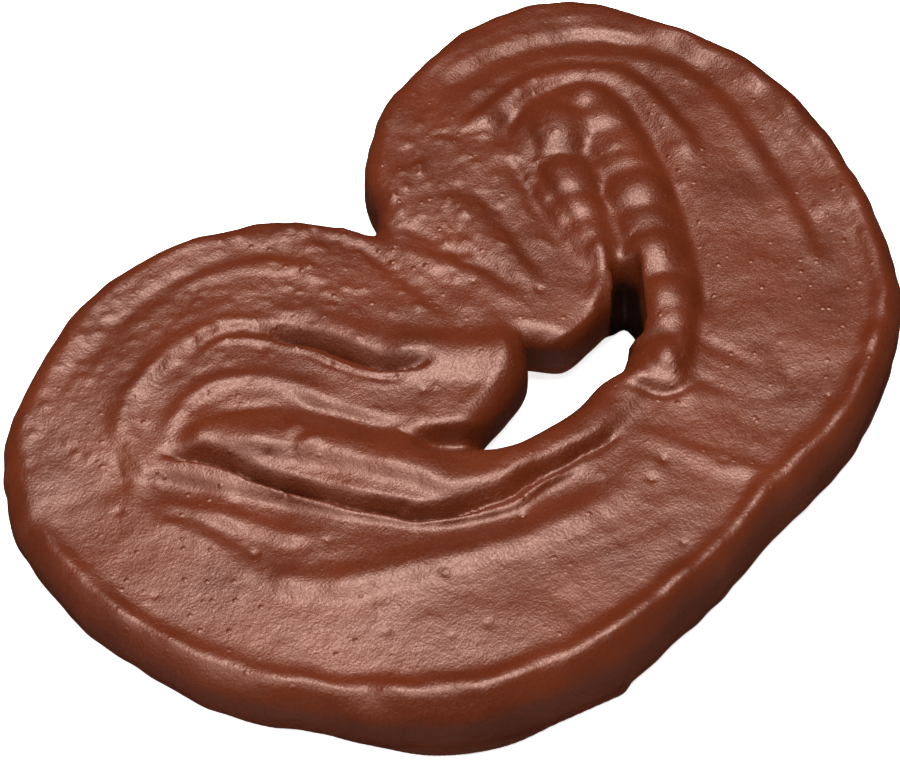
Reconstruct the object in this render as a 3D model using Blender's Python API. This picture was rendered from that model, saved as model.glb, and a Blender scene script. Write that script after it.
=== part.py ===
"""Chocolate-coated palmier: one solid, lying flat on its base.

The pastry is a sheet rolled in from both ends and sliced, so each lobe is a spiral of layers. The coat
rounds them into a rim, folds and slits. The plan is drawn in the heart frame, in millimetres: X across
the two lobes, Y from the point of the heart to the cleft between the lobes. At the end the solid is moved
so that the origin is the centre of its base, and scaled to metres.
"""

import bpy
import numpy as np

MM = 0.001

# Driving dimensions, in millimetres.
THICKNESS = 9.2  # of the plain top between the folds
LEFT_SINK = 2.2  # how much lower the top is at the outer edge of the left lobe
SINK_START, SINK_END = 30.0, 66.0  # where it sinks, left of the cleft
EDGE_RADIUS_TOP = 3.0
EDGE_RADIUS_BASE = 3.2
LEAST_THICKNESS = 1.6  # what is left under the deepest slit
GRID = 1.0  # the even mesh that is shaped
TRIANGLES = 9000
STEPS_PER_SPAN = 10  # of each smooth line, between two of its points

# The rim and the valley inside it follow the outline at these insets.
RIM_INSET, RIM_WIDTH, RIM_HEIGHT = 3.4, 3.6, 0.6
VALLEY_INSET, VALLEY_WIDTH, VALLEY_DEPTH = 8.0, 3.6, 0.9

# The outline at its widest, from the cleft over the left lobe and round to the cleft again.
CLEFT = (1.5, 21.5)
LEFT_LOBE = [
    (-1, 29), (-5.5, 35), (-12, 39.5), (-24, 43.2), (-31, 43.3), (-39, 41), (-48, 37.5), (-56, 32.5),
    (-63, 23), (-66.5, 11), (-67.5, 0), (-65, -14), (-60, -24.5), (-54.5, -32.5), (-46.5, -39.5),
    (-33, -45.5),
]
POINT_OF_HEART = [(-21.5, -47), (-9, -47), (3, -46.2), (16, -45.2)]
RIGHT_LOBE = [
    (25, -42.6), (33, -39), (39.5, -35), (45.5, -28.5), (50.5, -21.5), (55, -13.5), (59, -4), (61.5, 8.5),
    (60, 16.5), (58, 24), (56, 30.5), (50.5, 36), (44, 39.3), (36.5, 40.8), (26, 39.5), (16, 36.3),
    (9.5, 31.8), (5, 26),
]
OUTLINE = [CLEFT, *LEFT_LOBE, *POINT_OF_HEART, *RIGHT_LOBE, CLEFT]

# The hole in the middle at its narrowest: the two rolled tongues above it and the lower lip below.
TONGUE_NOTCH = (0.5, -4.8)
LEFT_TONGUE = [(-2.5, -9), (-8, -9.6), (-13.5, -10.2)]
LOWER_LIP = [
    (-15, -12.4), (-12.5, -14.2), (-8.5, -15.2), (-3.5, -16), (1.5, -15.5), (5.5, -16.3), (8.7, -14.8),
    (12, -12.4), (14.8, -10.4),
]
RIGHT_TONGUE = [(13, -9), (9, -9.9), (3.5, -9.5)]
HOLE = [TONGUE_NOTCH, *LEFT_TONGUE, *LOWER_LIP, *RIGHT_TONGUE, TONGUE_NOTCH]

# Each fold: its height (negative for a slit), its widths to the left and right of its line, and the line.
LEFT_FOLDS = {
    "finger": (0.9, 2.6, 5.0, [
        (-40, 14), (-36.5, 5), (-32.5, -4), (-27.5, -11), (-20, -17.6), (-9, -21), (3, -20.5)]),
    "slit under the finger": (-4.2, 2.6, 2.0, [
        (-44, 15), (-41.5, 9), (-38, 0), (-34, -7.5), (-30, -14), (-25, -18.7), (-16, -21.3), (-9, -23.5),
        (-4, -23.2)]),
    "hollow over the finger": (-1.4, 3.4, 3.4, [(-34, 12), (-29, 8), (-26.5, 0), (-23, -8)]),
    "small curl": (0.8, 2.2, 2.2, [(-43, 16.5), (-38, 18.6), (-32.5, 18.8), (-28.5, 15.6), (-26.5, 13)]),
    "slit over the curl": (-1.6, 2.6, 2.6, [
        (-42, 19.5), (-36, 21), (-30, 20), (-25.5, 15), (-24, 7), (-24, -1), (-21, -7.5), (-17, -10.5)]),
    "deep slit": (-4.2, 1.8, 2.2, [(-28, 24), (-22, 21), (-19, 15.5), (-17, 10), (-14.5, 4.5), (-12, 3)]),
    "inner arc": (0.9, 2.0, 2.6, [
        (-46, 22), (-38, 26), (-28, 27), (-21.5, 23.5), (-16.5, 16), (-13.5, 8), (-10, 3.5)]),
    "valley of the arcs": (-0.8, 3.0, 3.0, [(-42, 34.5), (-29, 35.5), (-17, 33.5), (-10.5, 27), (-7, 18)]),
    "edge of the layer": (-1.0, 2.2, 3.0, [(-50, -8), (-41, -15.4), (-31, -21.6), (-20, -26.6), (-10, -29)]),
    "outer fold": (-0.9, 2.0, 2.0, [(-49.5, 10), (-46, 3), (-42.5, -5), (-41, -12)]),
    "left tongue": (0.6, 2.0, 2.2, [(-22, -4.5), (-18, -6.3), (-12, -7.3), (-6, -6.5), (-2, -2)]),
}
RIGHT_FOLDS = {
    "outer rope": (1.5, 3.8, 3.4, [(40, 15), (36, 10), (31, 3), (26, -4), (21, -10), (14, -17), (6, -22)]),
    "inner rope": (1.4, 3.4, 3.4, [(33, 18.5), (30, 15), (25, 9.5), (21.5, 3.5), (18.5, -2)]),
    "slit between the ropes": (-3.0, 1.8, 1.8, [
        (37, 20), (35, 15.5), (30.5, 10), (25.5, 4.5), (22, -1), (18, -6)]),
    "gap under the ropes": (-7.2, 1.9, 1.9, [(13, -11.2), (15.2, -9), (18, -6.3), (20.5, -2.5)]),
    "slit outside the ropes": (-1.8, 2.0, 2.6, [
        (43, 17), (39, 9), (34, -1), (27.5, -9.8), (20, -17.3), (12, -22.5)]),
    "slit inside the ropes": (-1.2, 2.2, 2.2, [(27, 20), (23, 14), (20, 7.5), (17, 1.5)]),
    "slit under the arch": (-1.6, 2.4, 2.4, [(26, 18), (30, 21.3), (35, 22.3), (39, 21.2), (42.5, 17)]),
    "arch": (0.7, 2.6, 2.6, [(23.5, 21), (29, 25.2), (35, 26), (41, 23.3), (44.5, 17), (43, 8)]),
    "right tongue": (0.6, 1.8, 2.2, [(1.5, -5.5), (5, -7.6), (10, -7.2), (14.5, -4.4), (18, -2)]),
    "inner layer": (-0.8, 1.8, 2.6, [(17, 21), (15, 13), (12.5, 8), (11, 3)]),
    "fold from the cleft": (-0.7, 1.8, 2.4, [(3, 20), (4, 14), (4.8, 6), (5, 0)]),
    "top fold": (-0.6, 1.6, 1.6, [(38, 35), (45, 32.5), (50, 29.5), (54, 24)]),
}
SEAM = {"seam at the point": (-1.0, 2.4, 2.4, [(0.3, -24), (0, -30), (2, -35), (5, -40.5)])}
FOLDS = LEFT_FOLDS | RIGHT_FOLDS | SEAM
FOLD_END = 0.12  # the share of a fold's length in which it rises at each end


def smooth_line(points):
    """A smooth line through the points, which keeps a corner where its two ends meet."""
    held = np.array(points, float)
    held = np.vstack([2 * held[0] - held[1], held, 2 * held[-1] - held[-2]])
    t = np.linspace(0, 1, STEPS_PER_SPAN, endpoint=False)[:, None]
    spans = []
    for a, b, c, d in zip(held, held[1:], held[2:], held[3:]):
        square = (2 * a - 5 * b + 4 * c - d) * t**2
        cube = (3 * b - a - 3 * c + d) * t**3
        spans.append((2 * b + (c - a) * t + square + cube) / 2)
    return np.vstack([*spans, held[-2:-1]])


def distance_to_line(places, line):
    """For each place: its distance to the line, its side (1 is left, -1 is right) and how far along it is."""
    steps = np.diff(line, axis=0)
    lengths = np.linalg.norm(steps, axis=1)
    starts_along = np.concatenate([[0], np.cumsum(lengths)])
    nearest = np.full(len(places), np.inf)
    side = np.ones(len(places))
    share = np.zeros(len(places))
    for start, step, length, start_along in zip(line, steps, lengths, starts_along):
        offset = places - start
        t = np.clip(offset @ step / length**2, 0, 1)
        distance = np.linalg.norm(offset - t[:, None] * step, axis=1)
        closer = distance < nearest
        cross = step[0] * offset[:, 1] - step[1] * offset[:, 0]
        nearest[closer] = distance[closer]
        side[closer] = np.where(cross[closer] >= 0, 1, -1)
        share[closer] = (start_along + t[closer] * length) / starts_along[-1]
    return nearest, side, share


def smoothstep(low, high, value):
    t = np.clip((value - low) / (high - low), 0, 1)
    return t * t * (3 - 2 * t)


def bump(distance, width):
    """1 on the line, falling smoothly to 0 at the width."""
    return np.cos(np.pi / 2 * np.clip(distance / width, 0, 1)) ** 2


def fold_relief(places, fold):
    height, left_width, right_width, points = fold
    distance, side, share = distance_to_line(places, smooth_line(points))
    width = np.where(side > 0, left_width, right_width)
    ends = smoothstep(0, FOLD_END, share) * smoothstep(0, FOLD_END, 1 - share)
    return height * bump(distance, width) * ends


def quarter_round(from_edge, radius):
    """How far a rounded edge falls short of the full height, at each distance in from the edge."""
    inside = np.clip(from_edge, 0, radius)
    return radius - np.sqrt(radius**2 - (radius - inside) ** 2)


def top_height(places, from_outline, from_edge):
    height = np.full(len(places), THICKNESS)
    height -= LEFT_SINK * smoothstep(SINK_START, SINK_END, -places[:, 0])
    height += RIM_HEIGHT * bump(np.abs(from_outline - RIM_INSET), RIM_WIDTH)
    height -= VALLEY_DEPTH * bump(np.abs(from_outline - VALLEY_INSET), VALLEY_WIDTH)
    for fold in FOLDS.values():
        height += fold_relief(places, fold)
    height = np.maximum(height, LEAST_THICKNESS)
    return height - quarter_round(from_edge, np.minimum(EDGE_RADIUS_TOP, height / 2))


def apply_modifiers(body):
    bpy.context.view_layer.update()
    shaped = bpy.data.meshes.new_from_object(body.evaluated_get(bpy.context.evaluated_depsgraph_get()))
    body.modifiers.clear()
    body.data = shaped


def even_slab(name):
    """The plan with its hole, extruded to a slab and meshed in even squares."""
    plan = bpy.data.curves.new(name, "CURVE")
    plan.dimensions = "2D"
    plan.fill_mode = "BOTH"
    plan.extrude = THICKNESS / 2
    for points in (OUTLINE, HOLE):
        line = smooth_line(points)[:-1]
        spline = plan.splines.new("POLY")
        spline.points.add(len(line) - 1)
        for point, (x, y) in zip(spline.points, line):
            point.co = (x, y, 0, 1)
        spline.use_cyclic_u = True
    drawn = bpy.data.objects.new(name, plan)
    bpy.context.scene.collection.objects.link(drawn)
    bpy.context.view_layer.update()
    mesh = bpy.data.meshes.new_from_object(drawn.evaluated_get(bpy.context.evaluated_depsgraph_get()))
    bpy.data.objects.remove(drawn)
    body = bpy.data.objects.new(name, mesh)
    bpy.context.scene.collection.objects.link(body)
    squares = body.modifiers.new("even squares", "REMESH")
    squares.mode = "VOXEL"
    squares.voxel_size = GRID
    apply_modifiers(body)
    return body


def shape(body):
    """Moves the slab's points up or down, so that it takes the relief of the top and the round edges."""
    mesh = body.data
    points = np.empty(len(mesh.vertices) * 3)
    mesh.vertices.foreach_get("co", points)
    points = points.reshape(-1, 3)
    places = points[:, :2]
    from_outline = distance_to_line(places, smooth_line(OUTLINE))[0]
    from_hole = distance_to_line(places, smooth_line(HOLE))[0]
    from_edge = np.minimum(from_outline, from_hole)
    low = quarter_round(from_edge, EDGE_RADIUS_BASE)
    high = np.maximum(top_height(places, from_outline, from_edge), low + LEAST_THICKNESS / 2)
    share = np.clip(points[:, 2] / THICKNESS + 0.5, 0, 1)
    points[:, 2] = low + share * (high - low)
    points[:, :2] -= (places.min(axis=0) + places.max(axis=0)) / 2
    mesh.vertices.foreach_set("co", (points * MM).ravel())
    mesh.update()


def thin_out(body):
    """Long triangles on the flat base, short ones on the folds."""
    body.data.calc_loop_triangles()
    decimate = body.modifiers.new("fewer triangles", "DECIMATE")
    decimate.ratio = TRIANGLES / len(body.data.loop_triangles)
    apply_modifiers(body)
    body.data.shade_smooth()


def chocolate_coat():
    material = bpy.data.materials.new("chocolate_coat")
    material.use_nodes = True
    surface = material.node_tree.nodes["Principled BSDF"]
    surface.inputs["Base Color"].default_value = (0.13, 0.045, 0.026, 1)
    surface.inputs["Roughness"].default_value = 0.42
    surface.inputs["Metallic"].default_value = 0.0
    return material


def main():
    for old in list(bpy.data.objects):
        bpy.data.objects.remove(old)
    palmier = even_slab("palmier")
    shape(palmier)
    thin_out(palmier)
    palmier.data.materials.clear()
    palmier.data.materials.append(chocolate_coat())


main()
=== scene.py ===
"""The looks of the chocolate-coated palmier: one coat of chocolate, modelled as a solid round the folds.

The plan and the folds are drawn in the heart frame, in millimetres: X across the two lobes, Y from the
point of the heart to the cleft between the lobes, Z up from the underside. The frame's box says where
that plan lies and how large it is.
"""

import bmesh
import bpy
import numpy as np
import openvdb
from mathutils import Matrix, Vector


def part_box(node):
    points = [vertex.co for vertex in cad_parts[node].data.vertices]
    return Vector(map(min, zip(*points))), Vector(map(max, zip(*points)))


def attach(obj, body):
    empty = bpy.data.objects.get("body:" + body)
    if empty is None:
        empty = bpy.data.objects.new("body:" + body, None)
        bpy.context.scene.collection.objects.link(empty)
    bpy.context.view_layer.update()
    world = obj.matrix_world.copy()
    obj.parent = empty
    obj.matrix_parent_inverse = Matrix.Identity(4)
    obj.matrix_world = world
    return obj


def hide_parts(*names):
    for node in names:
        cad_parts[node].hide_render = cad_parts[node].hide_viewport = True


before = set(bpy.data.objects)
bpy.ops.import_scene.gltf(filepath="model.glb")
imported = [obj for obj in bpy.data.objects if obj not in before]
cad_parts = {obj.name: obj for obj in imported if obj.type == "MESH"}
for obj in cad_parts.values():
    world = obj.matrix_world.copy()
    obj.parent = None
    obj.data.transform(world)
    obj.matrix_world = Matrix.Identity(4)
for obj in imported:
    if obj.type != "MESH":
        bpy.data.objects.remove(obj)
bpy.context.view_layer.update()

# ---------------------------------------------------------------- driving dimensions, in millimetres
STEP = 0.43  # of the grid that the surface is drawn from
MARGIN = 2.0  # of the grid round the outline
TOP_ROOM = 12.5  # height of the grid over the underside
STEPS_PER_SPAN = 12  # of each smooth line, between two of its points

THICKNESS = 9.2  # of the plain top between the folds
LEFT_SINK, SINK_START, SINK_END = 2.2, 30.0, 66.0
BACK_SINK, BACK_SINK_START, BACK_SINK_END = 1.2, 36.0, 62.0  # of the right lobe's far side
LEAST_THICKNESS = 0.8
SHADE_START, SHADE_END = 1.0, 3.8  # depth under the plain top over which the slot and slits are painted darker, as painted shade
LUMP_SLOPE = 0.025  # height of the uneven chocolate's lumps, for each millimetre of their size
FOLD_DEPTH = 0.85  # scales the height of every fold
EDGE_ROUND = 3.0  # between the top and the outer wall
FRONT_SLANT, SLANT_START, SLANT_END = 0.08, 10.0, 40.0  # of the outer wall on the near side
HOLE_ROUND = 3.4  # between the top and the wall of the hole
BASE_ROUND = 0.9
WALL_TUCK, TUCK_HEIGHT = 1.2, 4.2  # how far the outer wall goes in under, and from what height
HOLE_TUCK = 2.2
FLAT_DEPTH = 1e-6  # in metres: corners this near to the lowest one lie on the underside
SPREAD = 0.65  # of the coat past the plan
SOFTNESS = 0.5  # of the chocolate, which rounds off the folds under it

# ---------------------------------------------------------------- the plan
CLEFT = (1.6, 21.6)
LEFT_LOBE = [
    (-1.2, 28.6), (-5.8, 34.2), (-12.2, 38.8), (-24, 42.6), (-31, 43.1), (-39, 41.2), (-48, 37.8), (-56.4, 32.7),
    (-63.4, 23.2), (-66.6, 11.2), (-66.8, -1), (-64.2, -13.2), (-59.2, -23), (-54.2, -31.4), (-47.4, -39.2),
    (-33, -45.6),
]
POINT_OF_HEART = [(-21.5, -46.8), (-9, -46.9), (3, -45.7), (16, -45.2)]
RIGHT_LOBE = [
    (25.2, -42.8), (33, -39.2), (39.8, -35.1), (45.8, -28.5), (50.9, -21.6), (55.3, -13.6), (59.5, -4), (62, 8.6),
    (60.7, 16.7), (59.1, 24.5), (56.8, 31.2), (51.2, 36.7), (44.7, 39.9), (36.9, 41.3), (26.3, 39.9),
    (16.4, 36.6), (10, 31.8), (5.4, 25.8),
]
OUTLINE = [CLEFT, *LEFT_LOBE, *POINT_OF_HEART, *RIGHT_LOBE, CLEFT]

TONGUE_NOTCH = (0.4, -4.6)
LEFT_TONGUE = [(-3.2, -8.2), (-8.2, -9.4), (-13.8, -10.2)]
LOWER_LIP = [(-15.2, -12.4), (-12.5, -14.4), (-8.5, -15.5), (-3.5, -16.3), (1.5, -15.8), (5.5, -16.5), (8.7, -15)]
RIGHT_TONGUE = [(11.8, -12.8), (13.8, -11), (12.7, -9.2), (9.2, -9.2), (3.8, -8.9)]
HOLE = [TONGUE_NOTCH, *LEFT_TONGUE, *LOWER_LIP, *RIGHT_TONGUE, TONGUE_NOTCH]

# ---------------------------------------------------------------- the folds
# Each fold gives its height (less than nothing for a groove), how far it reaches on its near and far
# side, as seen along LEAN, and a few points of its line, whose third number is a strength. A fold that
# is marked crisp is drawn after the others have been softened.
LEAN = (0.743, 0.669)
FADE = 4.0  # length over which a fold comes up from nothing at each end
WAVE_SIZE = 3.4  # of the waves in a fold's line and height
FOLD_WAVE, FOLD_UNEVEN = 0.3, 0.3


def fold(height, near, far, *points, crisp=0):
    line = [(*point, 1.0)[:3] for point in points]
    return {"height": height, "near": near, "far": far, "crisp": crisp, "line": line}


RIM = [
    # the crest of the rim: left side, near side and right side
    fold(0.8, 2.4, 2.4, (-61.4, 21.6), (-64.2, 14.4), (-65, 6), (-64.4, -2.4), (-60.8, -14.8), (-57, -22),
         (-49.2, -31.8)),
    fold(1.2, 2.6, 3.0, (-54.4, -26.8), (-46.6, -35.2), (-39.4, -39.8), (-27.2, -44), (-12.5, -45.3), (-3.5, -45),
         (1.3, -43.6), (6, -44.2), (20, -43), (33, -37.4)),
    fold(1.0, 2.8, 2.8, (28.4, -40), (36.4, -35.4), (44.4, -27.4), (51, -17.6), (55.6, -6.2), (58.8, 5.3),
         (58.6, 15), (57.6, 24)),
    # the valley inside the right rim, and the edge of the plateau before it
    fold(-0.7, 5.0, 1.6, (26, 34.6), (36, 33.6), (44, 30.8), (50, 26), (54, 19)),
    fold(-0.45, 3.0, 2.0, (50, 26), (53.6, 20.6), (54.7, 14), (54.1, 7.2), (51, -2.3), (44.8, -14.8),
         (37.5, -25)),
    fold(0.3, 2.6, 2.0, (50, 22), (52, 14), (51.7, 6.3), (47, -4.2), (42.4, -14.4), (35, -26.5)),
    # the rim along the back of the left lobe
    fold(-0.25, 2.2, 1.4, (-46, 33.6), (-39.8, 35.5), (-29, 36.6), (-19.8, 35.7), (-12.4, 32.2), (-7, 24)),
    fold(0.12, 1.0, 0.9, (-42, 37), (-35.2, 38.6), (-25, 38), (-18.9, 36.6), (-12, 33)),
    fold(0.25, 1.4, 2.4, (-44, 36.6), (-36.2, 39.8), (-29.3, 40.7), (-20.6, 39.9), (-14.9, 37.5), (-5, 29)),
    # the double crest along the back of the right lobe
    fold(0.2, 1.1, 1.2, (27.4, 39.2), (37.3, 38), (44.3, 36.1), (49.8, 32.6), (54.5, 28), (57.6, 20.6)),
    fold(0.15, 1.6, 1.2, (28.7, 36.6), (36.3, 36), (42.9, 34.2), (47.9, 31), (51.7, 27.6), (55.3, 21.4)),
]

LEFT_LOBE_FOLDS = [
    # the arcs round the middle of the lobe
    fold(0.35, 1.6, 1.4, (-26, 35.6), (-18, 32.6), (-11.6, 28.4), (-9.2, 21)),
    fold(0.55, 2.0, 2.2, (-47.4, 21), (-44, 25), (-37.7, 27), (-33, 27.6)),
    fold(0.5, 2.0, 1.5, (-37.7, 27), (-30.8, 27.7), (-24.8, 26.5), (-21.2, 23.7), (-19.3, 20)),
    fold(0.3, 1.2, 3.4, (-19.6, 23.2), (-15.9, 19.2), (-14.8, 14), (-12.3, 8.4), (-8.1, 2.9)),
    # the deep slit, the valley that leads to it, its lip and the valley and crest along the lip
    fold(-0.4, 2.0, 1.1, (-32, 25.6), (-26, 25.5), (-22, 22.8), (-20.4, 19.6)),
    fold(-3.6, 1.0, 2.3, (-22.6, 22.6, 0.2), (-19.5, 17.3, 0.8), (-18, 12.7), (-16.5, 8.2), (-14.6, 4.8, 0.9),
         (-12.2, 2.4, 0.5), (-9.4, 0.8, 0.1), crisp=1.3),
    fold(0.4, 1.0, 0.6, (-31, 24.8), (-25, 23.1), (-21.6, 17.5), (-19.9, 12.5), (-17.9, 6.4), (-13.6, 2),
         crisp=1.4),
    fold(-0.3, 0.8, 0.6, (-22.2, 17.7), (-20.6, 12.4), (-18.6, 6.3), (-15, 1.8), crisp=1.4),
    fold(0.2, 1.2, 0.7, (-22.4, 18.6), (-20.9, 12.3), (-18.9, 6), (-15.4, 1.4)),
    # the curl over the finger, and the small fold and valley between them
    fold(0.7, 1.3, 2.3, (-43.6, 17.8), (-39.6, 19.3), (-32.4, 19.5), (-28, 15.7, 0.8), (-25.5, 10.8, 0.6), (-24.8, 4.8, 0.4)),
    fold(-0.35, 1.8, 1.0, (-41, 17.8), (-36.5, 16), (-32, 13.9), (-28, 9.4)),
    fold(0.25, 0.8, 0.8, (-35.8, 16.8), (-31.6, 14.4), (-27.8, 10)),
    fold(-1.0, 4.0, 1.2, (-28.4, 12.2, 0.5), (-25.4, 5.6), (-22.8, 0), (-20, -4)),
    fold(-4.6, 3.4, 1.8, (-22.8, -3.2, 0.1), (-19.2, -7.2, 0.6), (-15, -10.8), (-10.6, -13.8)),
    # the finger, the slit under it, and the slit's lip
    fold(1.2, 2.6, 6.0, (-42.2, 17), (-38.4, 12.8), (-34.8, 7.5), (-31.1, 1.3), (-28.3, -4.4), (-25.8, -9.2),
         (-24.6, -13), (-21.6, -16.2), (-13.5, -19.6), (-6.3, -21.6), (1, -21), (7, -19.2)),
    fold(-3.0, 1.0, 2.1, (-45.4, 17.6, 0.3), (-41.3, 11.4, 0.7), (-39.4, 4.5), (-36.9, -1.2), (-33.2, -9),
         (-28.6, -15.9, 0.8), (-22.9, -19.4, 0.5), (-14.4, -21.8, 0.4), (-8, -23.8, 0.3), (-2, -24, 0.1),
         crisp=1.5),
    fold(0.35, 0.9, 0.5, (-45.4, 17, 0.2), (-41.9, 10.2), (-39.2, 1.2), (-35.7, -6.8), (-31.7, -14.3),
         (-27, -18.5), (-21.3, -21.6), (-14.2, -22.7), (-4, -24.6), crisp=1.4),
    fold(-0.9, 6.5, 0.8, (-49.5, 17), (-45.6, 12), (-40.6, 1), (-35, -9), (-29, -17.6), (-21, -22), (-10, -24.6)),
    fold(-0.6, 0.8, 0.8, (-47.2, 22.4), (-50, 18.8), (-52.6, 15.2)),
    # the layers outside it: a crest, a valley, the edge of the plateau and the long fold it goes on into
    fold(0.35, 2.0, 1.6, (-50.4, 11.8), (-47.3, 6.9), (-44.6, 0.9), (-41.4, -8)),
    fold(-0.35, 2.6, 1.5, (-52, 12.6), (-49, 6.8), (-46.8, 0.2), (-42, -9)),
    fold(0.35, 1.4, 1.6, (-43, 25), (-46.2, 19), (-50, 13)),
    fold(0.3, 2.4, 2.6, (-53, 13), (-50.7, 5), (-50, -4.4), (-46.6, -11.6)),
    fold(0.75, 3.4, 3.8, (-50, -5.4), (-46.8, -11.2), (-41.3, -16.2), (-32.6, -21.4), (-20.7, -27.4, 0.9),
         (-12.4, -29.8, 0.6), (-2, -31, 0.4)),
    # the flat of the tongue, and the roll along its edge
    fold(1.6, 6.0, 5.0, (-14.8, 7.6), (-10.1, 2.9), (-6.8, -0.8), (-3.4, -4.4), (-0.6, -8)),
    fold(0.35, 1.6, 1.8, (-15.5, -6.2, 0.4), (-8.8, -6.7), (-4, -4.4), (-0.4, 0.2), (1, 3)),
]

RIGHT_LOBE_FOLDS = [
    # the folds that run in from the cleft
    fold(-0.45, 2.0, 1.6, (-5.4, 29.4), (-2.4, 22.5), (-2, 17), (-2.6, 9.3), (-2.7, 3)),
    fold(0.4, 2.4, 1.3, (0, 21), (2.2, 14.8), (3.6, 9), (4, 3), (4.5, -1.3)),
    fold(-0.4, 1.4, 1.6, (4.2, 22.4), (5.4, 15.4), (6.1, 8), (7, 0)),
    fold(0.45, 3.6, 2.6, (12.6, 21.4), (11.7, 15), (9.7, 6.5), (7.6, -1.6)),
    fold(-0.35, 2.0, 1.4, (16.8, 19.4), (14.4, 10.6), (10, 0.4)),
    fold(-0.5, 2.2, 1.0, (24.2, 19.4), (20.6, 11.6), (17.6, 4.3), (14, -3)),
    fold(0.2, 0.6, 0.6, (26, 18.6), (20.8, 10.7), (16.2, -0.2)),
    # the valley under the arch, the arch, and the valley beyond it
    fold(-0.6, 1.8, 1.6, (23.6, 18.8), (27.7, 22.3), (34.8, 23.6), (40.5, 21.5), (42.8, 17), (41.5, 12.8)),
    fold(0.9, 4.2, 1.8, (23, 24.6), (28, 26.8), (36.4, 26.3), (42.4, 23.8), (45.9, 18.3), (45.4, 11.5),
         (43.3, 5), (39, -1)),
    fold(-0.4, 2.4, 1.6, (25, 27.4), (34, 28.9), (42.3, 26.8), (47, 21.7), (48.8, 17), (45, 3)),
    # the slot between the ropes, and the valleys beside them
    fold(-9.6, 1.9, 1.9, (19.6, -4.6, 0.1), (17.6, -7, 0.9), (14.2, -10.6), (10, -14.6),
         crisp=0.35),
    fold(-0.5, 1.8, 1.8, (43.2, 15.4), (38.7, 6.6), (34.7, -1), (29.3, -8.9), (23.2, -15.9), (16.8, -20.4),
         (8, -26)),
    fold(-0.5, 1.0, 1.2, (29, 19.6), (24.2, 14), (21, 8), (17.6, 0)),
    # the roll along the edge of the right tongue, which goes on into the inner rope
    fold(0.7, 1.8, 1.2, (-1.2, -1.8), (1.2, -6.8), (6.5, -8.4), (11.9, -7.2), (17, -3.5), (20.4, 1.4)),
]

POINT_FOLDS = [
    # the seam from the knot to the near rim, the knot's groove and notch, and two faint valleys beside it
    fold(0.35, 3.0, 1.6, (-1.7, -23.4), (-0.9, -31.2), (2.1, -39.2), (5.3, -45.4)),
    fold(-1.0, 1.1, 1.1, (1.6, -18.4), (3.9, -22), (6, -25), (11, -26)),
    fold(-0.6, 0.7, 0.8, (12, -20), (10, -23.2), (8.8, -26)),
    fold(-1.8, 1.4, 1.4, (6.4, -12.4), (10, -16.4), (13, -20.6)),
    fold(-0.25, 1.4, 1.4, (14.8, -19.6), (15.9, -26.6), (16, -32)),
    fold(-0.2, 1.4, 1.4, (9.6, -22), (10.8, -29.4), (11.8, -34.4)),
    fold(-0.2, 1.6, 1.4, (20.4, -32.4), (16, -35.6), (11, -33)),
    fold(-0.12, 1.8, 1.4, (-27, -30.4), (-15.6, -35.7), (-7, -38)),
]

FOLDS = RIM + LEFT_LOBE_FOLDS + RIGHT_LOBE_FOLDS + POINT_FOLDS

# The two ropes between the lobes, which end in a knot: the low ridge under each.
ROPES = [
    fold(1.0, 4.3, 4.3, (35.4, 24), (30.4, 17.2), (24.5, 9.8), (20.2, 2.4), (16.4, -4)),
    fold(1.1, 4.8, 4.8, (41.6, 22), (38.2, 14.6), (33.4, 6), (26.2, -3.6), (18, -14), (11.8, -20), (3, -24.4)),
]

# The ropes are rows of beads, and so is the knot. Each bead gives its middle, its half length and half
# width, its height, and the direction of its length in degrees.
BEADS = [
    # inner rope
    (31.9, 16.6, 5.0, 4.5, 1.5, 42),
    (25.8, 9.1, 4.4, 4.4, 1.4, 42),
    (22.2, 4.9, 3.2, 3.8, 1.0, 42),
    (20.0, 1.3, 3.0, 2.8, 0.7, 42),
    (18.2, -2.4, 3.2, 2.4, 0.6, 42),
    # outer rope
    (38.8, 17.8, 3.0, 3.0, 0.7, 42),
    (37.8, 13.2, 3.8, 4.2, 0.9, 42),
    (35.2, 8.6, 3.8, 4.6, 0.8, 42),
    (32.6, 5.2, 3.6, 4.5, 0.8, 42),
    (29.8, 1.2, 4.8, 4.5, 1.3, 42),
    (26.2, -3.4, 3.8, 3.9, 0.9, 42),
    (22.4, -8.2, 5.0, 4.1, 1.3, 42),
    (17.8, -14.1, 4.4, 3.9, 1.1, 42),
    (14.8, -17.2, 3.4, 3.4, 0.8, 42),
    (11.9, -19.8, 3.6, 3.2, 0.8, 42),
    # the knot
    (9.8, -21.2, 3.0, 3.0, 1.1, 42),
    # two small ones on the finger
    (-30.6, 6.5, 2.4, 1.2, 0.55, -5),
    (-31.0, 3.3, 2.2, 1.2, 0.55, -14),
]

# What is strewn over the top: small pits, and bumps of sugar under the chocolate. Each kind gives how
# many, the middle and the spread of where they lie, and the least and greatest radius and height.
STREWN = [
    {"count": 50, "middle": (-30, -8), "spread": (24, 18), "radius": (0.3, 0.55), "height": (-0.4, -0.2)},
    {"count": 320, "middle": (8, 22), "spread": (12, 9), "radius": (0.3, 0.55), "height": (0.08, 0.22)},
    {"count": 240, "middle": (-30, 30), "spread": (18, 7), "radius": (0.3, 0.55), "height": (0.06, 0.16)},
    {"count": 260, "middle": (0, 0), "spread": (40, 26), "radius": (0.3, 0.6), "height": (0.04, 0.1)},
]
LOBE_MIDDLES = ((-32, 6), (24, 4))
BUMP_LENGTH = 1.5  # of a bump, along the folds, over its width

# The low foot of chocolate that has run out on to the underside's plane.
FOOT = [(-54, -27), (-50, -34), (-44, -39), (-37, -41.6), (-29, -44.5)]
FOOT_REACH, FOOT_HEIGHT = 2.4, 1.1


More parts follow.
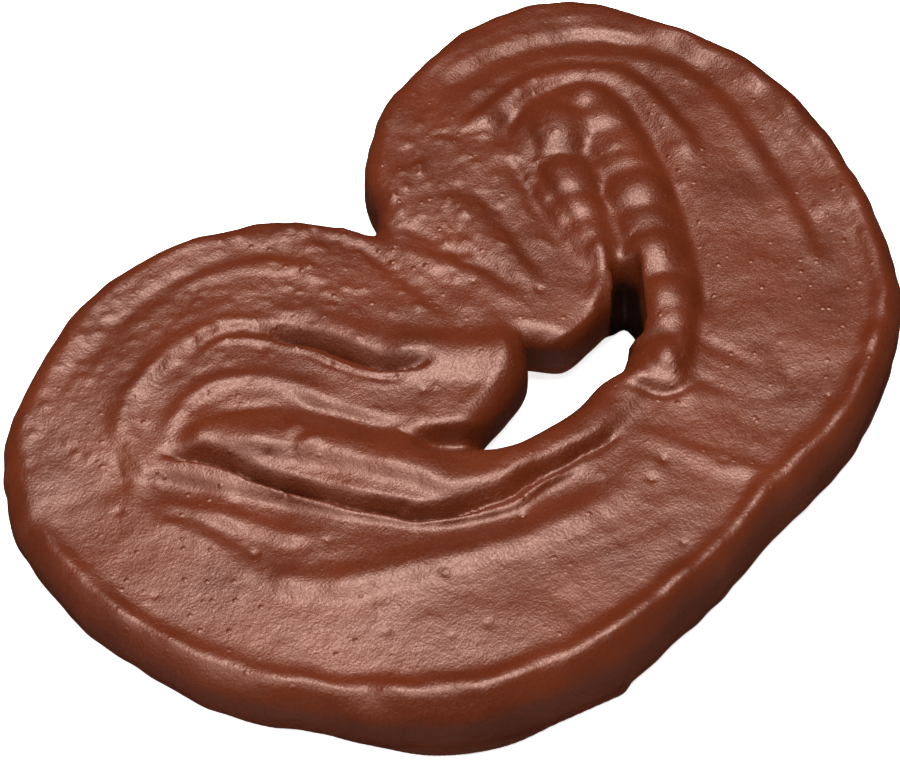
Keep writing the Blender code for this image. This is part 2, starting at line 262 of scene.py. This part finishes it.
# ---------------------------------------------------------------- lines, distances and noise
def smooth_line(points):
    """A smooth line through the points (each x, y and perhaps a strength), sharp only at its two ends."""
    held = np.array(points, float)
    held = np.vstack([2 * held[0] - held[1], held, 2 * held[-1] - held[-2]])
    t = np.linspace(0, 1, STEPS_PER_SPAN, endpoint=False)[:, None]
    spans = []
    for a, b, c, d in zip(held, held[1:], held[2:], held[3:]):
        square = (2 * a - 5 * b + 4 * c - d) * t**2
        cube = (3 * b - a - 3 * c + d) * t**3
        spans.append((2 * b + (c - a) * t + square + cube) / 2)
    return np.vstack([*spans, held[-2:-1]])


def along_line(x, y, line):
    """For each place: its distance to the line, how far it is on the far side (0 to 1) and the strength."""
    nearest = np.full(x.shape, np.inf)
    lean = np.zeros(x.shape)
    strength = np.zeros(x.shape)
    for (px, py, pk), (sx, sy, sk) in zip(line, np.diff(line, axis=0)):
        ox, oy = x - px, y - py
        t = np.clip((ox * sx + oy * sy) / (sx * sx + sy * sy), 0, 1)
        dx, dy = ox - t * sx, oy - t * sy
        distance = np.hypot(dx, dy)
        closer = distance < nearest
        nearest[closer] = distance[closer]
        lean[closer] = ((dx * LEAN[0] + dy * LEAN[1]) / np.maximum(distance, 1e-6))[closer]
        strength[closer] = (pk + t * sk)[closer]
    return nearest, smoothstep(-0.7, 0.7, lean), strength


def signed_distance(x, y, line):
    """Distance to a closed line: negative inside it."""
    nearest = np.full(x.shape, np.inf)
    inside = np.zeros(x.shape, bool)
    for (ax, ay), (bx, by) in zip(line, np.roll(line, -1, axis=0)):
        sx, sy = bx - ax, by - ay
        if sx == 0 and sy == 0:
            continue
        ox, oy = x - ax, y - ay
        t = np.clip((ox * sx + oy * sy) / (sx * sx + sy * sy), 0, 1)
        nearest = np.minimum(nearest, np.hypot(ox - t * sx, oy - t * sy))
        if ay != by:
            crosses = (ay > y) != (by > y)
            inside ^= crosses & (ox < sx * (y - ay) / sy)
    return np.where(inside, -nearest, nearest)


def smoothstep(low, high, value):
    t = np.clip((value - low) / (high - low), 0, 1)
    return t * t * (3 - 2 * t)


def noise(x, y, size, seed):
    """Smooth noise from -1 to 1, with lumps of about the size given."""
    rng = np.random.default_rng(seed)
    cells = 64
    lattice = rng.uniform(-1, 1, (cells, cells))
    u, v = x / size, y / size
    i, j = np.floor(u).astype(int), np.floor(v).astype(int)
    fu, fv = u - i, v - j
    fu, fv = fu * fu * (3 - 2 * fu), fv * fv * (3 - 2 * fv)
    a = lattice[i % cells, j % cells]
    b = lattice[(i + 1) % cells, j % cells]
    c = lattice[i % cells, (j + 1) % cells]
    d = lattice[(i + 1) % cells, (j + 1) % cells]
    return (a * (1 - fu) + b * fu) * (1 - fv) + (c * (1 - fu) + d * fu) * fv


# ---------------------------------------------------------------- the top's relief
def window(x, y, low, high):
    """The part of the grid between two corners."""
    rows = np.flatnonzero((x[:, 0] > low[0]) & (x[:, 0] < high[0]))
    columns = np.flatnonzero((y[0] > low[1]) & (y[0] < high[1]))
    return np.ix_(rows, columns)


def add_fold(height, x, y, one, power=1.0):
    line = smooth_line(one["line"])
    walked = np.concatenate([[0], np.cumsum(np.hypot(*np.diff(line[:, :2], axis=0).T))])
    line[:, 2] *= smoothstep(0, FADE, walked) * smoothstep(0, FADE, walked[-1] - walked)
    line[:, 2] *= 1 + FOLD_UNEVEN * noise(line[:, 0], line[:, 1], WAVE_SIZE, 21)
    waves = [noise(line[:, 0], line[:, 1], WAVE_SIZE, seed) for seed in (22, 23)]
    line[:, :2] += FOLD_WAVE * np.array(waves).T
    reach = max(one["near"], one["far"])
    here = window(x, y, line[:, :2].min(axis=0) - reach, line[:, :2].max(axis=0) + reach)
    distance, far_side, strength = along_line(x[here], y[here], line)
    width = one["near"] + (one["far"] - one["near"]) * far_side
    across = np.clip(distance / width, 0, 1)
    profile = (1 - across) ** one["crisp"] if one["crisp"] else np.cos(np.pi / 2 * across) ** (2 * power)
    height[here] += FOLD_DEPTH * one["height"] * strength * profile


def beads_height(x, y):
    """The ropes' beads: each a pillow, with creases where two of them meet."""
    height = np.zeros(x.shape)
    for cx, cy, half_length, half_width, rise, degrees in BEADS:
        a = np.radians(degrees)
        u = ((x - cx) * np.cos(a) + (y - cy) * np.sin(a)) / half_length
        v = ((y - cy) * np.cos(a) - (x - cx) * np.sin(a)) / half_width
        height = np.maximum(height, rise * (1 - np.clip(u * u + np.abs(v) ** 2.2, 0, 1)))
    return height


def strew(height, x, y, kind, rng):
    """Small round marks on the top: pits, or bumps that are longer along the folds."""
    for cx, cy in rng.normal(kind["middle"], kind["spread"], (kind["count"], 2)):
        radius, rise = rng.uniform(*kind["radius"]), rng.uniform(*kind["height"])
        stretch = BUMP_LENGTH if rise > 0 else 1.0
        reach = 3 * radius * stretch
        here = window(x, y, (cx - reach, cy - reach), (cx + reach, cy + reach))
        away = np.array([cx, cy]) - LOBE_MIDDLES[int(cx > 0)]
        away /= np.hypot(*away)
        across = (x[here] - cx) * away[0] + (y[here] - cy) * away[1]
        along = (y[here] - cy) * away[0] - (x[here] - cx) * away[1]
        height[here] += rise * np.exp(-(across**2 + (along / stretch) ** 2) / radius**2)


def soften(height):
    """Round the relief off, as a thick coat does."""
    reach = int(np.ceil(3 * SOFTNESS / STEP))
    weights = np.exp(-0.5 * (np.arange(-reach, reach + 1) * STEP / SOFTNESS) ** 2)
    weights /= weights.sum()
    for axis in (0, 1):
        height = np.apply_along_axis(np.convolve, axis, height, weights, "same")
    return height


def lumps(x, y):
    """Uneven chocolate: the same slopes at every size of lump, and more of them round the lobes' tops."""
    height = np.zeros(x.shape)
    for seed, (size, share) in enumerate(((9.0, 0.9), (4.8, 1.0), (2.6, 0.7), (1.4, 0.5))):
        height += LUMP_SLOPE * share * size * noise(x, y, size, seed)
    return height * (1 + 0.5 * smoothstep(0, 25, y))


def top_height(x, y):
    relief = np.zeros(x.shape)
    for one in FOLDS:
        if not one["crisp"]:
            add_fold(relief, x, y, one)
    ropes = np.zeros(x.shape)
    for one in ROPES:
        rope = np.zeros(x.shape)
        add_fold(rope, x, y, one, power=0.3)
        ropes = np.maximum(ropes, rope)
    relief += ropes + beads_height(x, y)
    relief = soften(relief)
    for one in FOLDS:
        if one["crisp"]:
            add_fold(relief, x, y, one)
    rng = np.random.default_rng(11)
    for kind in STREWN:
        strew(relief, x, y, kind, rng)
    height = THICKNESS - LEFT_SINK * smoothstep(SINK_START, SINK_END, -x)
    height -= BACK_SINK * smoothstep(BACK_SINK_START, BACK_SINK_END, x * LEAN[0] + y * LEAN[1])
    return np.maximum(height + relief + lumps(x, y), LEAST_THICKNESS)


# ---------------------------------------------------------------- the solid
def round_meet(a, b, radius):
    """The inside of both a and b (negative inside), with a round edge where they meet."""
    a, b = a + radius, b + radius
    return np.minimum(np.maximum(a, b), 0) + np.hypot(np.maximum(a, 0), np.maximum(b, 0)) - radius


def tuck(z, depth, height):
    return depth * (np.clip(1 - z / height, 0, 1)) ** 2


def field():
    """The solid as a field on a grid (negative inside), and the grid's lowest corner."""
    outline = smooth_line(OUTLINE)[:-1]
    hole = smooth_line(HOLE)[:-1]
    low = outline.min(axis=0) - MARGIN
    high = outline.max(axis=0) + MARGIN
    x = np.arange(low[0], high[0], STEP)
    y = np.arange(low[1], high[1], STEP)
    z = np.arange(-MARGIN, TOP_ROOM, STEP)
    x2, y2 = np.meshgrid(x, y, indexing="ij")
    from_outline = soften(signed_distance(x2, y2, outline)) - SPREAD
    from_outline += 0.3 * noise(x2, y2, 6, 7) + 0.2 * noise(x2, y2, 2.6, 8)
    from_hole = -signed_distance(x2, y2, hole)
    top = top_height(x2, y2)[..., None]
    z3 = z[None, None, :]
    slant = FRONT_SLANT * smoothstep(SLANT_START, SLANT_END, -x2 * LEAN[0] - y2 * LEAN[1])
    outer_wall = from_outline[..., None] + slant[..., None] * np.maximum(z3, 0) + tuck(z3, WALL_TUCK, TUCK_HEIGHT)
    solid = round_meet(z3 - top, outer_wall, EDGE_ROUND)
    wall = round_meet(z3 - top, from_hole[..., None] + tuck(z3, HOLE_TUCK, TUCK_HEIGHT), HOLE_ROUND)
    solid = np.maximum(solid, wall)
    foot = along_line(x2, y2, smooth_line([(*point, 1.0) for point in FOOT]))[0] - FOOT_REACH
    solid = np.minimum(solid, round_meet(foot[..., None], z3 - FOOT_HEIGHT, 0.6))
    solid = round_meet(solid, -z3, BASE_ROUND)
    return solid.astype(np.float32), np.array([x[0], y[0], z[0]]), (outline.min(axis=0), outline.max(axis=0))


def surface():
    """The solid's surface: its points in metres in the frame, and its faces."""
    solid, corner, (plan_low, plan_high) = field()
    grid = openvdb.FloatGrid(float(EDGE_ROUND))
    grid.copyFromArray(solid)
    points, triangles, quads = grid.convertToPolygons(isovalue=0.0, adaptivity=0.0)
    points = points * STEP + corner
    low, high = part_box("palmier")
    scale = (high[0] - low[0]) / (plan_high[0] - plan_low[0])
    centre = np.array([*(plan_low + plan_high) / 2, 0])
    middle = np.array([(low[0] + high[0]) / 2, (low[1] + high[1]) / 2, low[2]])
    # painted shade: how dark the chocolate is painted down the slot and slits
    painted_shade = painted_shade_in_slots(points)
    return (points - centre) * scale + middle, triangles, quads, painted_shade, scale, centre, middle


def painted_shade_in_slots(points):
    """How far down the slot or a slit each point lies, from 0 at its lip to 1: the strength of the painted shade
    there.
    """
    painted_shade = np.zeros(len(points))
    for one in FOLDS:
        if one["height"] < -1 and one["crisp"]:
            distance = along_line(points[:, 0], points[:, 1], smooth_line(one["line"]))[0]
            depth = smoothstep(SHADE_START, SHADE_END, THICKNESS - points[:, 2])
            painted_shade = np.maximum(painted_shade, depth * (distance < 1.3 * one["far"]))
    return painted_shade


def thin_the_underside(mesh):
    """Put a few large faces in the place of the flat underside's many small ones."""
    work = bmesh.new()
    work.from_mesh(mesh)
    lowest = min(corner.co.z for corner in work.verts)
    flat = [face for face in work.faces if all(c.co.z < lowest + FLAT_DEPTH for c in face.verts)]
    bmesh.ops.delete(work, geom=flat, context="FACES")
    edges = [edge for edge in work.edges if edge.is_boundary]
    bmesh.ops.triangle_fill(work, edges=edges, use_beauty=False, use_dissolve=False, normal=(0, 0, -1))
    work.to_mesh(mesh)
    work.free()
    mesh.shade_smooth()


def build_coat():
    points, triangles, quads, painted_shade, scale, centre, middle = surface()
    mesh = bpy.data.meshes.new("chocolate_coat")
    faces = [*quads.tolist(), *triangles.tolist()]
    mesh.from_pydata(points.tolist(), [], faces)
    mesh.update()
    mesh.shade_smooth()
    coat = bpy.data.objects.new("chocolate_coat", mesh)
    bpy.context.scene.collection.objects.link(coat)
    # the painted shade goes on the mesh as a point attribute, for the material
    mesh.attributes.new("painted_shade", "FLOAT", "POINT").data.foreach_set("value", painted_shade)
    thin_the_underside(mesh)
    print("triangles", sum(len(face.vertices) - 2 for face in mesh.polygons))
    return coat, scale, centre, middle


# ---------------------------------------------------------------- the chocolate
def shader_node(material, kind, **inputs):
    """A node of this kind, with its named inputs set or linked."""
    node = material.node_tree.nodes.new(kind)
    for name, value in inputs.items():
        socket = node.inputs[name.replace("_", " ")]
        if isinstance(value, bpy.types.NodeSocket):
            material.node_tree.links.new(value, socket)
        else:
            socket.default_value = value
    return node


def map_range(material, value, low, high, to_low, to_high):
    node = shader_node(material, "ShaderNodeMapRange", Value=value, From_Min=low, From_Max=high,
                       To_Min=to_low, To_Max=to_high)
    return node.outputs["Result"]


def multiply(material, first, second):
    return add_up(material, first, second, "MULTIPLY")


def add_up(material, first, second, operation="ADD"):
    node = material.node_tree.nodes.new("ShaderNodeMath")
    node.operation = operation
    material.node_tree.links.new(first, node.inputs[0])
    material.node_tree.links.new(second, node.inputs[1])
    return node.outputs["Value"]


def chocolate():
    """Milk chocolate with a fine grain, strewn with dots, a little uneven in colour and gloss, and painted shade,
    near black, down the slot and slits.
    """
    material = bpy.data.materials.new("milk_chocolate")
    material.use_nodes = True
    links = material.node_tree.links
    coat = material.node_tree.nodes["Principled BSDF"]
    coat.inputs["Specular IOR Level"].default_value = 0.46
    coat.inputs["Specular Tint"].default_value = (1.0, 0.66, 0.55, 1)
    place = shader_node(material, "ShaderNodeTexCoord").outputs["Object"]

    patches = shader_node(material, "ShaderNodeTexNoise", Vector=place, Scale=90, Detail=3)
    colour = shader_node(material, "ShaderNodeMix")
    colour.data_type = "RGBA"
    links.new(map_range(material, patches.outputs["Fac"], 0.3, 0.7, 0, 1), colour.inputs[0])
    colour.inputs[6].default_value = (0.050, 0.0072, 0.0013, 1)
    colour.inputs[7].default_value = (0.070, 0.0112, 0.0023, 1)
    # painted shade: the base colour turns near black down the slot and slits, where shade falls
    painted_shade = shader_node(material, "ShaderNodeAttribute")
    painted_shade.attribute_name = "painted_shade"
    shade = shader_node(material, "ShaderNodeMix")
    shade.data_type = "RGBA"
    links.new(painted_shade.outputs["Fac"], shade.inputs[0])
    links.new(colour.outputs[2], shade.inputs[6])
    shade.inputs[7].default_value = (0.004, 0.0008, 0.0003, 1)
    links.new(shade.outputs[2], coat.inputs["Base Color"])

    gloss = shader_node(material, "ShaderNodeTexNoise", Vector=place, Scale=3200, Detail=1)
    links.new(map_range(material, gloss.outputs["Fac"], 0.3, 0.7, 0.30, 0.46), coat.inputs["Roughness"])

    grain = shader_node(material, "ShaderNodeTexNoise", Vector=place, Scale=3000, Detail=1)
    uneven = shader_node(material, "ShaderNodeTexNoise", Vector=place, Scale=600, Detail=2)
    dots = shader_node(material, "ShaderNodeTexVoronoi", Vector=place, Scale=420)
    height = add_up(material, map_range(material, grain.outputs["Fac"], 0, 1, 0, 0.045),
                    map_range(material, uneven.outputs["Fac"], 0, 1, 0, 0.10))
    strewn = shader_node(material, "ShaderNodeTexNoise", Vector=place, Scale=45, Detail=2)
    dot_height = map_range(material, strewn.outputs["Fac"], 0.4, 0.65, 0.02, 0.13)
    dot = map_range(material, dots.outputs["Distance"], 0, 0.17, 1, 0)
    height = add_up(material, height, multiply(material, dot, dot_height))
    bump = shader_node(material, "ShaderNodeBump", Height=height, Distance=0.001, Strength=1.0)
    links.new(bump.outputs["Normal"], coat.inputs["Normal"])
    return material


# ---------------------------------------------------------------- floor, light and camera
def floor():
    mesh = bpy.data.meshes.new("floor")
    s = 3.0
    mesh.from_pydata([(-s, -s, 0), (s, -s, 0), (s, s, 0), (-s, s, 0)], [], [(0, 1, 2, 3)])
    plane = bpy.data.objects.new("floor", mesh)
    bpy.context.scene.collection.objects.link(plane)
    plane.location.z = -0.0001
    material = bpy.data.materials.new("pale_floor")
    material.use_nodes = True
    material.node_tree.nodes["Principled BSDF"].inputs["Base Color"].default_value = (0.95, 0.95, 0.95, 1)
    material.node_tree.nodes["Principled BSDF"].inputs["Roughness"].default_value = 0.9
    material.node_tree.nodes["Principled BSDF"].inputs["Specular IOR Level"].default_value = 0.0
    material.node_tree.nodes["Principled BSDF"].inputs["Emission Color"].default_value = (1, 1, 1, 1)
    material.node_tree.nodes["Principled BSDF"].inputs["Emission Strength"].default_value = 0.8
    mesh.materials.append(material)
    plane.visible_glossy = False


def direction(azimuth, elevation):
    """Unit vector towards a viewer or light: azimuth 0 stands at -Y, 90 at +X."""
    a, e = np.radians(azimuth), np.radians(elevation)
    return np.array([np.sin(a) * np.cos(e), -np.cos(a) * np.cos(e), np.sin(e)])


def point_at(thing, target):
    from mathutils import Vector
    away = thing.location - Vector(target)
    thing.rotation_euler = away.to_track_quat("Z", "Y").to_euler()


def area_light(name, azimuth, elevation, distance, size, watts, color=(1, 1, 1)):
    data = bpy.data.lights.new(name, "AREA")
    data.shape = "ELLIPSE"
    data.size, data.size_y = size
    data.energy = watts
    data.color = color
    light = bpy.data.objects.new(name, data)
    bpy.context.scene.collection.objects.link(light)
    light.location = direction(azimuth, elevation) * distance
    point_at(light, (0, 0, 0))
    return light


def light_the_scene():
    area_light("softbox", 132, 85, 1.2, (1.2, 1.2), 26)
    area_light("softbox core", 132, 79, 1.19, (0.6, 0.5), 12)
    area_light("left softbox", -100, 55, 1.3, (0.6, 0.6), 5)
    area_light("side fill", -115, 30, 1.5, (1.0, 0.8), 2.2)
    world = bpy.data.worlds.new("studio")
    bpy.context.scene.world = world
    world.use_nodes = True
    nodes, links = world.node_tree.nodes, world.node_tree.links
    place = nodes.new("ShaderNodeTexCoord")
    split = nodes.new("ShaderNodeSeparateXYZ")
    rise = nodes.new("ShaderNodeMapRange")
    rise.inputs["From Min"].default_value = 0.0
    rise.inputs["From Max"].default_value = 1.0
    rise.inputs["To Min"].default_value = 0.0
    rise.inputs["To Max"].default_value = 0.10
    links.new(place.outputs["Generated"], split.inputs["Vector"])
    links.new(split.outputs["Z"], rise.inputs["Value"])
    links.new(rise.outputs["Result"], nodes["Background"].inputs["Strength"])
    nodes["Background"].inputs["Color"].default_value = (1, 1, 1, 1)
    bpy.context.scene.view_settings.view_transform = "Standard"


VIEW_AZIMUTH, VIEW_ELEVATION = -48, 49
VIEW_DISTANCE, VIEW_TARGET, VIEW_LENS = 430, (-9, 0, 4.75), 132.8


def set_camera(scale, centre, middle):
    data = bpy.data.cameras.new("camera")
    data.sensor_width = 36
    data.lens = VIEW_LENS
    data.clip_start = 0.01
    camera = bpy.data.objects.new("camera", data)
    bpy.context.scene.collection.objects.link(camera)
    target = (np.array(VIEW_TARGET) - centre) * scale + middle
    camera.location = target + direction(VIEW_AZIMUTH, VIEW_ELEVATION) * VIEW_DISTANCE * scale
    point_at(camera, target)
    bpy.context.scene.camera = camera


def main():
    coat, scale, centre, middle = build_coat()
    coat.data.materials.append(chocolate())
    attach(coat, "root")
    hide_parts("palmier")
    floor()
    light_the_scene()
    set_camera(scale, centre, middle)


main()
